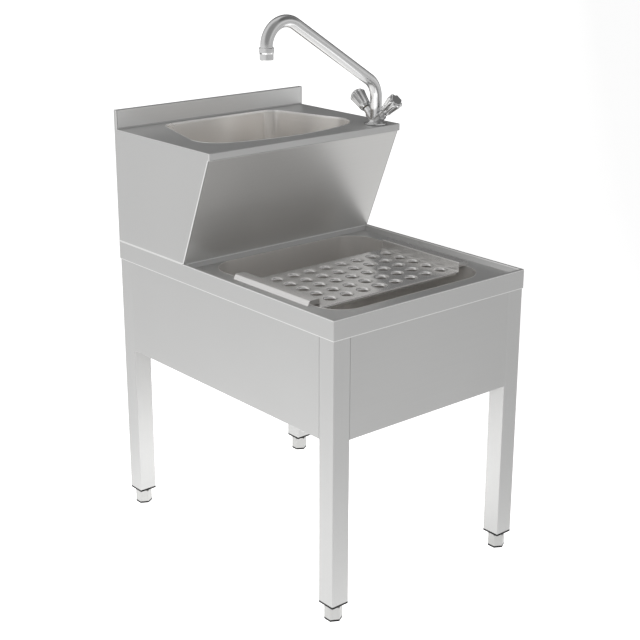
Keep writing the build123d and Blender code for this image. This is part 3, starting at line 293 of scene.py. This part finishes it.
def special_looks():
    """Looks of the nodes with painted highlights in part, or painted lighter than their slot's steel to stand in
    for light.
    """
    skirt_z, border_z = (corner.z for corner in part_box("lower_worktop"))
    upstand_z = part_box("hand_basin_top")[1].z
    deck_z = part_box("hand_basin_bowl")[1].z
    # painted highlights: strips of lighter base colour along the housing's joint with the border, the skirt's hem,
    # the border's top and the basin's mouth, and painted light on the upstand's face
    joint_highlight = (border_z - EDGE_BAND, border_z + EDGE_BAND)
    hem = (skirt_z - EDGE_BAND / 2, skirt_z + EDGE_BAND)
    border = (border_z - EDGE_BAND, border_z - BORDER_LIP)
    face = (upstand_z - UPSTAND_BAND[0], upstand_z - UPSTAND_BAND[1])
    mouth = (deck_z - MOUTH_BAND[0], deck_z + MOUTH_BAND[1])
    # the hand basin's steel is painted lighter than the bowl steel, standing in for light in its hollow
    basin = ((0.87, 0.85, 0.825), 0.20, "x", 0.86)
    # the housing sides also get a painted highlight on their rounded edges
    housing = brushed_metal("housing_side_look", *SHEET, rounded=True, bands=[joint_highlight])
    return {
        "housing_side_left": housing,
        "housing_side_right": housing,
        "lower_worktop": brushed_metal("worktop_look", *SHEET, bands=[hem, border]),
        "hand_basin_top": brushed_metal("basin_top_look", *SHEET, bands=[face]),
        "hand_basin_bowl": brushed_metal("hand_basin_look", *basin, bands=[mouth]),
        # the splash panel's steel is painted lighter than the sheet steel, standing in for light on the sloped
        # panel
        "splash_panel": brushed_metal("splash_panel_look", (0.75, 0.745, 0.73), 0.33, "x", SATIN),
    }


def dress_cad_nodes():
    """Gives every CAD node its special look, or its slot's material."""
    special = special_looks()
    for subpart in frame["record"]["subparts"]:
        name = subpart["node"]
        node = NODES[name]
        node.data.materials.clear()
        node.data.materials.append(special.get(name, MATERIALS[subpart["material_slot"]]))


# ---- mesh helpers ----
SMOOTH_ANGLE = 35.0            # degrees of turn up to which neighbouring faces are shaded as one
BRAID_SMOOTH_ANGLE = 60.0


def new_piece(name, points, faces, body, slot, replaces, smooth_angle=SMOOTH_ANGLE):
    """A mesh piece that rides on a CAD body and stands for CAD nodes."""
    mesh = bpy.data.meshes.new(name)
    mesh.from_pydata([tuple(p) for p in points], [], faces)
    mesh.validate()
    piece = bpy.data.objects.new(name, mesh)
    bpy.context.scene.collection.objects.link(piece)
    tidy_mesh(mesh, smooth_angle)
    mesh.materials.append(MATERIALS[slot])
    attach(piece, body)
    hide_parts(*replaces)
    return piece


def tidy_mesh(mesh, smooth_angle):
    """Merges doubled points, turns the faces outwards (or upwards) and shades smoothly up to an angle."""
    work = bmesh.new()
    work.from_mesh(mesh)
    bmesh.ops.remove_doubles(work, verts=work.verts, dist=MERGE_DISTANCE)
    bmesh.ops.recalc_face_normals(work, faces=work.faces)
    is_open = any(edge.is_boundary for edge in work.edges)
    if is_open and sum(face.normal.z * face.calc_area() for face in work.faces) < 0:
        bmesh.ops.reverse_faces(work, faces=work.faces)
    limit = math.radians(smooth_angle)
    for face in work.faces:
        face.smooth = True
    for edge in work.edges:
        edge.smooth = len(edge.link_faces) == 2 and edge.calc_face_angle(0) < limit
    work.to_mesh(mesh)
    work.free()


def ring_faces(rows, count, closed=True):
    """Quads between successive rows of count points."""
    faces = []
    for row in range(rows - 1):
        for i in range(count if closed else count - 1):
            j = (i + 1) % count
            faces.append((row * count + i, row * count + j, (row + 1) * count + j, (row + 1) * count + i))
    return faces


def smooth_step(t):
    """0 below 0, 1 above 1 and a smooth rise between."""
    t = min(max(t, 0.0), 1.0)
    return t * t * (3 - 2 * t)


def joint(name):
    """A joint's entry in the frame."""
    return next(j for j in frame["joints"] if j["name"] == name)


def span_along(node, origin, axis):
    """Nearest and farthest distance of a CAD node's points along an axis."""
    distances = [(v.co - origin).dot(axis) for v in NODES[node].data.vertices]
    return min(distances), max(distances)


def radius_about(node, origin, axis):
    """Largest distance of a CAD node's points from an axis."""
    offsets = [v.co - origin for v in NODES[node].data.vertices]
    return max((o - axis * o.dot(axis)).length for o in offsets)


# ---- tap knobs ----
KNOB_SEGMENTS = 128
KNOB_STEPS = 26                # mesh rows along the flared side
KNOB_LOBES = 8
KNOB_GROOVE = 0.0036           # depth of a flute between two lobes
GROOVE_START = 0.10            # share of the side before the flutes start
GROOVE_RISE = 0.25             # share of the side over which they reach their depth
GROOVE_SHARPNESS = 1.4         # above 1 the lobes are broader than the flutes
KNOB_WAIST = 0.68              # inner end's radius as a share of the outer end's
KNOB_BELLY = 0.25              # share of the flare that follows a curve instead of a cone
KNOB_LIP = 0.0012              # how far the inner end's edge is rounded
LIP_FADE = 12                  # the rounding takes up one part in this many of the side
KNOB_CHAMFER = 0.0015
CHAMFER_LENGTH = 0.0008
KNOB_ROUNDING = 0.006
ROUNDING_STEPS = 10
ROUNDING_FLATNESS = 0.8        # the outer rounding's depth as a share of its length
KNOB_CAP = 0.55                # flat end's radius as a share of the knob's


def knob_profile(length, radius):
    """(distance, radius, groove depth) from the inner face to the rounded outer end."""
    rows = [(0.0, 0.0, 0.0), (0.0, KNOB_WAIST * radius - KNOB_CHAMFER, 0.0)]
    flare_end = length - KNOB_ROUNDING
    for i in range(KNOB_STEPS + 1):
        t = i / KNOB_STEPS
        lip = KNOB_LIP * (1 - smooth_step(t * LIP_FADE))
        flare = KNOB_WAIST + (1 - KNOB_WAIST) * ((1 - KNOB_BELLY) * t + KNOB_BELLY * t * t)
        groove = KNOB_GROOVE * smooth_step((t - GROOVE_START) / GROOVE_RISE)
        rows.append((CHAMFER_LENGTH + t * (flare_end - CHAMFER_LENGTH), flare * radius - lip, groove))
    for i in range(1, ROUNDING_STEPS + 1):
        angle = math.pi / 2 * i / ROUNDING_STEPS
        inset = KNOB_ROUNDING * (1 - math.cos(angle)) * ROUNDING_FLATNESS
        rows.append((flare_end + KNOB_ROUNDING * math.sin(angle), radius - inset, KNOB_GROOVE))
    rows.append((length, radius * KNOB_CAP, 0.0))
    rows.append((length, 0.0, 0.0))
    return rows


def make_knob(name):
    """A fluted knob on its joint's axis, as long and as wide as the CAD knob."""
    turn = joint(f"{name}_knob_turn")
    origin = Vector(turn["pos_m"])
    axis = Vector(turn["axis"]).normalized()
    across = Vector((1, 0, 0))
    over = axis.cross(across)
    near, far = span_along(f"knob_{name}", origin, axis)
    radius = radius_about(f"knob_{name}", origin, axis)
    points = []
    rows = knob_profile(far - near, radius)
    for distance, reach, groove in rows:
        for i in range(KNOB_SEGMENTS):
            angle = 2 * math.pi * i / KNOB_SEGMENTS
            flute = (0.5 - 0.5 * math.cos(KNOB_LOBES * angle)) ** GROOVE_SHARPNESS
            r = max(reach - groove * flute, 0.0)
            outwards = across * math.cos(angle) + over * math.sin(angle)
            points.append(origin + axis * (near + distance) + outwards * r)
    faces = ring_faces(len(rows), KNOB_SEGMENTS)
    new_piece(f"fluted_knob_{name}", points, faces, f"{name}_knob", "tap_chrome", [f"knob_{name}"])


# ---- grate ----
HOLE_COLUMNS = 9
HOLE_ROWS = 5
HOLE_PITCH = (0.0423, 0.0398)
HOLE_RADIUS = 0.0112
HOLE_ROLL = 0.0050             # radius of the rounded edge that each hole is drawn down with
ROLL_RINGS = 10
CELL_STEPS = 8                 # mesh steps along one side of a hole's cell
GRATE_SHEET = 0.0015
SHEET_EDGE = 0.25              # rounding of a sheet's edge as a share of its thickness
SHEET_EDGE_ANGLE = 50          # degrees of turn above which an edge is rounded
GRATE_FLANGE = 0.029           # width of a side rail
GRATE_RISE = 0.020             # how far the side rails stand above the plate
GRATE_OVERHANG = 0.004         # how far the side rails run past the front hem
GRATE_MARGIN = 0.0065          # flat strip that ends in the hem's fold
GRATE_SKIRT = 0.00995          # height of a rail's outer wall
FOLD_RADIUS = 0.0025
RAIL_RADIUS = 0.0040           # the rails' outer edge is rolled more gently
RAIL_SLANT = 30                # degrees between the rails' outer wall and the vertical
FOLD_STEPS = 8


def cell_border(low_x, high_x, low_y, high_y):
    """Points round a rectangle, evenly spaced on each side."""
    corners = [(low_x, low_y), (high_x, low_y), (high_x, high_y), (low_x, high_y)]
    border = []
    for k in range(4):
        (x0, y0), (x1, y1) = corners[k], corners[(k + 1) % 4]
        for i in range(CELL_STEPS):
            t = i / CELL_STEPS
            border.append((x0 + (x1 - x0) * t, y0 + (y1 - y0) * t))
    return border


def drain_cell(points, faces, middle, bounds, top_z):
    """One drain hole with its drawn-down edge, in its rectangular piece of plate."""
    border = cell_border(*bounds)
    first = len(points)
    count = len(border)
    for ring in range(ROLL_RINGS):
        turn = math.pi / 2 * (1 - ring / (ROLL_RINGS - 1))
        radius = HOLE_RADIUS + HOLE_ROLL * (1 - math.sin(turn))
        drop = HOLE_ROLL * (1 - math.cos(turn))
        for x, y in border:
            angle = math.atan2(y - middle[1], x - middle[0])
            x_on_ring = middle[0] + radius * math.cos(angle)
            y_on_ring = middle[1] + radius * math.sin(angle)
            points.append((x_on_ring, y_on_ring, top_z - drop))
    points.extend((x, y, top_z) for x, y in border)
    faces.extend(tuple(first + i for i in face) for face in ring_faces(ROLL_RINGS + 1, count))


def fold_arc(centre, start_angle, end_angle, radius):
    """Points of a fold's arc in its section plane."""
    arc = []
    for i in range(FOLD_STEPS + 1):
        angle = math.radians(start_angle + (end_angle - start_angle) * i / FOLD_STEPS)
        arc.append((centre[0] + radius * math.cos(angle), centre[1] + radius * math.sin(angle)))
    return arc


def strip(points, faces, stations, section, place):
    """A sheet swept through stations; place(station, section point) gives a point."""
    first = len(points)
    for station in stations:
        for item in section:
            points.append(place(station, item))
    quads = ring_faces(len(stations), len(section), closed=False)
    faces.extend(tuple(first + i for i in face) for face in quads)


def stepped(edges):
    """The edges of a row of cells, with each cell divided into steps."""
    stations = []
    for start, end in zip(edges, edges[1:]):
        stations += [start + (end - start) * i / CELL_STEPS for i in range(CELL_STEPS)]
    return stations + [edges[-1]]


def close_rail(points, faces, outline):
    """Closes a rail's front end, down to the lower edge of its outer wall."""
    bottom = outline[-1][2]
    above = [point for point in outline if point[2] > bottom]
    first = len(points)
    points.extend(above + [outline[-1], (above[0][0], above[0][1], bottom)])
    faces.append(tuple(range(first, len(points))))


def make_grate():
    """The lift-off grate as one folded sheet: drilled plate, two hems and two side rails."""
    low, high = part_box("grate")
    front, back = low.y + GRATE_OVERHANG, high.y
    plate_z = high.z - GRATE_RISE
    wall_x = high.x - GRATE_FLANGE
    flat_x = wall_x - FOLD_RADIUS
    middle_y = (front + back) / 2
    field = HOLE_ROWS * HOLE_PITCH[1] / 2
    points, faces = [], []
    inner_edges = [(i - HOLE_COLUMNS / 2) * HOLE_PITCH[0] for i in range(1, HOLE_COLUMNS)]
    column_edges = [-flat_x] + inner_edges + [flat_x]
    row_edges = [middle_y - field + j * HOLE_PITCH[1] for j in range(HOLE_ROWS + 1)]
    for i in range(HOLE_COLUMNS):
        for j in range(HOLE_ROWS):
            middle = ((i - (HOLE_COLUMNS - 1) / 2) * HOLE_PITCH[0], (row_edges[j] + row_edges[j + 1]) / 2)
            cell = (column_edges[i], column_edges[i + 1], row_edges[j], row_edges[j + 1])
            drain_cell(points, faces, middle, cell, plate_z)

    # front and back margins with their turned-down hems
    for way, edge, row_edge in ((-1, front, row_edges[0]), (1, back, row_edges[-1])):
        bend = fold_arc((edge - way * FOLD_RADIUS, plate_z - FOLD_RADIUS), 90, 90 - 90 * way, FOLD_RADIUS)
        section = [(row_edge, plate_z), (edge - way * GRATE_MARGIN, plate_z)] + bend + [(edge, low.z)]
        strip(points, faces, stepped(column_edges), section, lambda x, item: (x, item[0], item[1]))

    # side walls, rolled over the bowl's rim
    slant = math.radians(RAIL_SLANT)
    drop = GRATE_SKIRT - RAIL_RADIUS * (1 - math.sin(slant))
    rail_inset = RAIL_RADIUS * math.cos(slant) + drop * math.tan(slant)
    stations = [low.y, front, front + FOLD_RADIUS, front + GRATE_MARGIN] + stepped(row_edges)
    stations += [back - GRATE_MARGIN, back - FOLD_RADIUS, back]
    for way in (-1, 1):
        section = fold_arc((flat_x, plate_z + FOLD_RADIUS), 270, 360, FOLD_RADIUS)
        section += fold_arc((wall_x + FOLD_RADIUS, high.z - FOLD_RADIUS), 180, 90, FOLD_RADIUS)
        section += fold_arc((high.x - rail_inset, high.z - RAIL_RADIUS), 90, RAIL_SLANT, RAIL_RADIUS)
        section.append((high.x, high.z - GRATE_SKIRT))
        strip(points, faces, stations, section, lambda y, item: (way * item[0], y, item[1]))
        rail = [(way * x, low.y, z) for x, z in section if x > wall_x - FOLD_RADIUS / 2]
        close_rail(points, faces, rail)

    grate = new_piece("lift_off_grate", points, faces, "grate", "grate_steel", ["grate"])
    thicken(grate, GRATE_SHEET)


def thicken(piece, thickness):
    """Gives a one-sided sheet its thickness below its shown side, with softened edges."""
    solid = piece.modifiers.new("sheet", "SOLIDIFY")
    solid.thickness = thickness
    solid.offset = -1
    bevel = piece.modifiers.new("edges", "BEVEL")
    bevel.width = thickness * SHEET_EDGE
    bevel.segments = 2
    bevel.limit_method = "ANGLE"
    bevel.angle_limit = math.radians(SHEET_EDGE_ANGLE)


# ---- supply hoses ----
HOSE_RADIUS = 0.0045
HOSE_CUTS = 40                 # level cuts through the CAD hose that give its centre line
HOSE_SLICES = 360
HOSE_SEGMENTS = 48
BRAID_STRANDS = 12
BRAID_TURNS = 20               # turns of one strand along the hose
BRAID_DEPTH = 0.0005
HOSE_INSET = 1.0e-4            # the first and last cut stay this far inside the CAD hose
HOSE_STEP = 0.002              # share of the length over which the hose's direction is taken


def level_cut(mesh, z):
    """Middle of the outline that a level plane cuts from a mesh."""
    work = bmesh.new()
    work.from_mesh(mesh)
    geometry = work.verts[:] + work.edges[:] + work.faces[:]
    cut = bmesh.ops.bisect_plane(work, geom=geometry, plane_co=(0, 0, z), plane_no=(0, 0, 1))
    found = [item.co.copy() for item in cut["geom_cut"] if isinstance(item, bmesh.types.BMVert)]
    work.free()
    low = Vector([min(p[i] for p in found) for i in range(3)])
    high = Vector([max(p[i] for p in found) for i in range(3)])
    return (low + high) / 2


def between(line, t):
    """A point on the smooth curve through a line of points, t from 0 to 1."""
    place = t * (len(line) - 1)
    k = min(int(place), len(line) - 2)
    u = place - k
    before, start, end, after = (line[min(max(k + i, 0), len(line) - 1)] for i in (-1, 0, 1, 2))
    start_pull = (end - before) / 2
    end_pull = (after - start) / 2
    return (start * (2 * u ** 3 - 3 * u ** 2 + 1) + start_pull * (u ** 3 - 2 * u ** 2 + u)
            + end * (3 * u ** 2 - 2 * u ** 3) + end_pull * (u ** 3 - u ** 2))


def make_hose(node):
    """A supply hose with its woven steel braid, along the CAD hose's centre line."""
    low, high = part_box(node)
    top = high.z - HOSE_INSET
    length = high.z - low.z - 2 * HOSE_INSET
    line = [level_cut(NODES[node].data, top - length * i / (HOSE_CUTS - 1)) for i in range(HOSE_CUTS)]
    points = []
    for row in range(HOSE_SLICES):
        t = row / (HOSE_SLICES - 1)
        middle = between(line, t)
        ahead = between(line, min(t + HOSE_STEP, 1.0))
        behind = between(line, max(t - HOSE_STEP, 0.0))
        along = (ahead - behind).normalized()
        across = along.cross(Vector((0, 1, 0))).normalized()
        over = along.cross(across)
        for i in range(HOSE_SEGMENTS):
            angle = 2 * math.pi * i / HOSE_SEGMENTS
            turns = 2 * math.pi * BRAID_TURNS * t
            right = math.cos(BRAID_STRANDS / 2 * (angle + turns))
            left = math.cos(BRAID_STRANDS / 2 * (angle - turns))
            r = HOSE_RADIUS - BRAID_DEPTH * (1 - max(right, left))
            points.append(middle + (across * math.cos(angle) + over * math.sin(angle)) * r)
    faces = ring_faces(HOSE_SLICES, HOSE_SEGMENTS)
    faces += [tuple(range(HOSE_SEGMENTS)), tuple(len(points) - 1 - i for i in range(HOSE_SEGMENTS))]
    name = node.replace("hose", "braided_hose")
    new_piece(name, points, faces, "frame", "hose_braid", [node], BRAID_SMOOTH_ANGLE)


# ---- stage, light and camera ----
def make_floor():
    """A wide pale floor at the object's feet, that glows more near the object and on its bright side."""
    half = FLOOR_HALF_SIDE
    mesh = bpy.data.meshes.new("floor")
    corners = [(-half, -half), (half, -half), (half, half), (-half, half)]
    mesh.from_pydata([(x, y, CAD_LOW.z) for x, y in corners], [], [(0, 1, 2, 3)])
    floor = bpy.data.objects.new("floor", mesh)
    bpy.context.scene.collection.objects.link(floor)
    mesh.materials.append(floor_look())


def floor_look():
    """The floor's material, with its glow worked out from the distance and the side."""
    shader = Shader("floor_look")
    surface = shader.surface
    mottle = shader.spread(shader.noise(MOTTLE_SCALE), 1 - MOTTLE_CHANGE, 1 + MOTTLE_CHANGE)
    shader.put(surface.inputs["Base Color"], shader.shade((FLOOR_ALBEDO,) * 3, mottle))
    surface.inputs["Roughness"].default_value = FLOOR_ROUGHNESS
    surface.inputs["Emission Color"].default_value = (1, 1, 1, 1)
    distance = shader.node("ShaderNodeVectorMath", operation="LENGTH")
    shader.link(shader.place, distance.inputs[0])
    fading = shader.math("MULTIPLY", distance.outputs["Value"], -1.0 / NEAR_REACH)
    near = shader.math("MULTIPLY", shader.math("EXPONENT", fading, 0.0), NEAR_GLOW)
    side = shader.node("ShaderNodeVectorMath", operation="DOT_PRODUCT")
    side.inputs[1].default_value = BRIGHT_SIDE
    shader.link(shader.place, side.inputs[0])
    bias = shader.remap(side.outputs["Value"], *BRIGHT_SPAN, *BRIGHT_GAIN)
    glow = shader.math("MULTIPLY", shader.math("ADD", near, FLOOR_GLOW), bias)
    seen = shader.node("ShaderNodeLightPath").outputs["Is Camera Ray"]
    white = shader.math("MULTIPLY", seen, FLOOR_WHITE)
    shader.put(surface.inputs["Emission Strength"], shader.math("ADD", glow, white))
    return shader.material


def make_world():
    """An even sky, dimmed in each soft patch."""
    world = bpy.data.worlds.new("studio")
    bpy.context.scene.world = world
    world.use_nodes = True
    tree = world.node_tree
    tree.nodes.clear()
    link = tree.links.new
    output = tree.nodes.new("ShaderNodeOutputWorld")
    studio = tree.nodes.new("ShaderNodeBackground")
    link(studio.outputs["Background"], output.inputs["Surface"])
    place = tree.nodes.new("ShaderNodeTexCoord").outputs["Generated"]
    strength = tree.nodes.new("ShaderNodeValue").outputs["Value"]
    strength.default_value = SKY_LEVEL
    for direction, full, faded, level in SKY_PATCHES:
        facing = tree.nodes.new("ShaderNodeVectorMath")
        facing.operation = "DOT_PRODUCT"
        facing.inputs[1].default_value = Vector(direction).normalized()
        link(place, facing.inputs[0])
        share = tree.nodes.new("ShaderNodeMapRange")
        share.interpolation_type = "SMOOTHSTEP"
        for name, value in (("From Min", faded), ("From Max", full), ("To Min", 1.0), ("To Max", level)):
            share.inputs[name].default_value = value
        link(facing.outputs["Value"], share.inputs["Value"])
        dimmed = tree.nodes.new("ShaderNodeMath")
        dimmed.operation = "MULTIPLY"
        link(strength, dimmed.inputs[0])
        link(share.outputs["Result"], dimmed.inputs[1])
        strength = dimmed.outputs["Value"]
    link(strength, studio.inputs["Strength"])


def make_light(name, location, rotation, size, watts):
    """A rectangular area light."""
    light = bpy.data.lights.new(name, "AREA")
    light.shape = "RECTANGLE"
    light.size, light.size_y = size
    light.energy = watts
    lamp = bpy.data.objects.new(name, light)
    lamp.location = location
    lamp.rotation_euler = rotation
    bpy.context.scene.collection.objects.link(lamp)
    return lamp


def make_key():
    """The main softbox, aimed at the object and not mirrored in its polished metal."""
    aim = (-KEY_OFFSET).to_track_quat("-Z", "Y").to_euler()
    lamp = make_light("key", CENTRE + KEY_OFFSET, aim, KEY_SIZE, KEY_WATTS)
    lamp.visible_glossy = False


def make_reflector():
    """A small bright card that faces up over the basin, mirrored in the underside of the spout."""
    low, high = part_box("hand_basin_bowl")
    mouth = Vector(((low.x + high.x) / 2, (low.y + high.y) / 2, high.z))
    make_light("reflector", mouth + REFLECTOR_OFFSET, (math.pi, 0.0, 0.0), REFLECTOR_SIZE, REFLECTOR_WATTS)


def make_camera():
    """The camera at the reference view."""
    azimuth = math.radians(VIEW_AZIMUTH)
    rise = math.radians(VIEW_ELEVATION)
    back = Vector((math.sin(azimuth) * math.cos(rise), -math.cos(azimuth) * math.cos(rise), math.sin(rise)))
    data = bpy.data.cameras.new("camera")
    data.lens = LENS
    data.shift_x, data.shift_y = LENS_SHIFT
    camera = bpy.data.objects.new("camera", data)
    camera.location = CENTRE + AIM_OFFSET + back * VIEW_DISTANCE
    camera.rotation_euler = (-back).to_track_quat("-Z", "Y").to_euler()
    bpy.context.scene.collection.objects.link(camera)
    bpy.context.scene.camera = camera


dress_cad_nodes()
make_grate()
make_knob("front")
make_knob("rear")
for hose in ("hose_hot", "hose_cold"):
    make_hose(hose)
make_floor()
make_world()
make_key()
make_reflector()
make_camera()
bpy.context.scene.view_settings.view_transform = "Standard"
